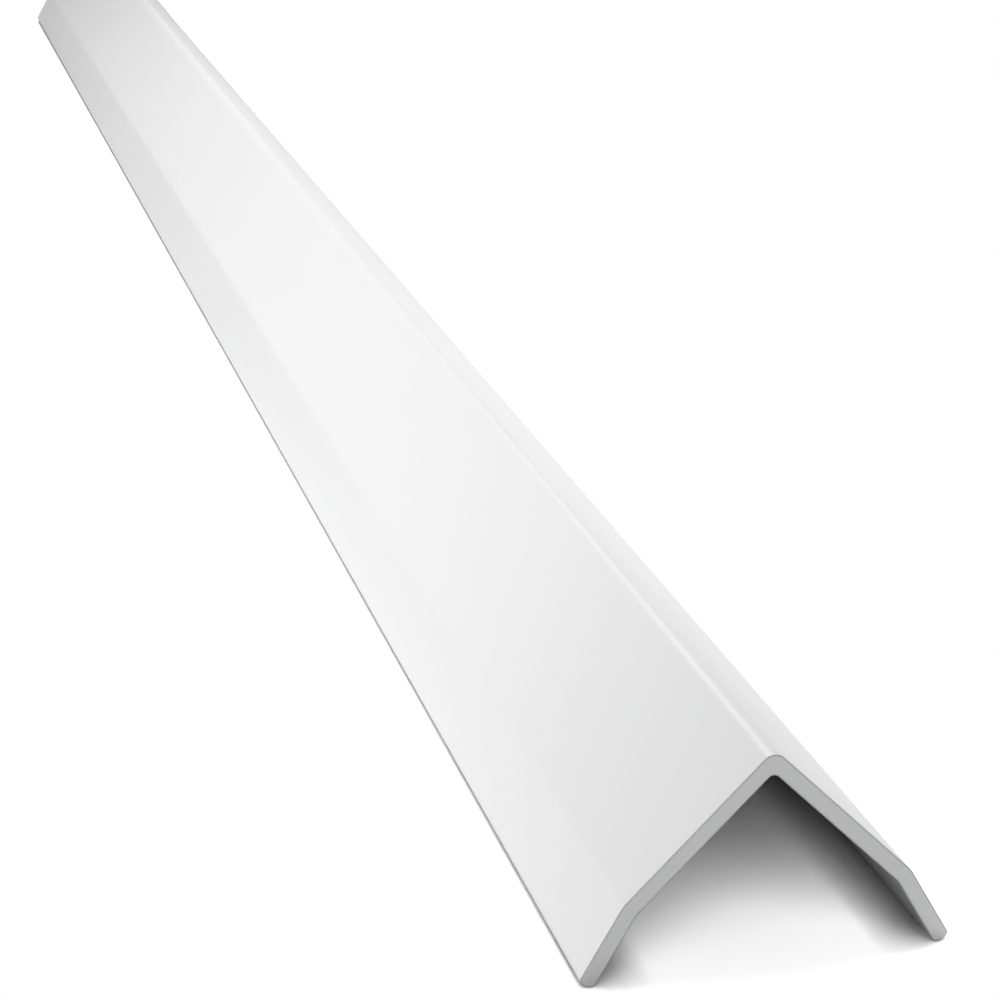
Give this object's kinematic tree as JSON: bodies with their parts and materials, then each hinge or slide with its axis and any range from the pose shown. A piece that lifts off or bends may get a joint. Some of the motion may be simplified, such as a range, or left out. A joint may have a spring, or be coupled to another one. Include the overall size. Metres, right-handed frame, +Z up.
{
  "type": "edge trim",
  "caption": "Straight aluminium edge trim for outside wall corners: a white coated right angle whose legs end in lips turned in towards the wall.",
  "frame": {"origin": "on the ground under the middle of the trim", "axes": "+Y along the length, +Z up through the corner of the angle, X across the two legs"},
  "size_m": [0.0644, 1, 0.0381],
  "materials": {
    "white_coat": "satin"
  },
  "bodies": {
    "root": {"edge_trim": "white_coat"}
  },
  "joints": []
}
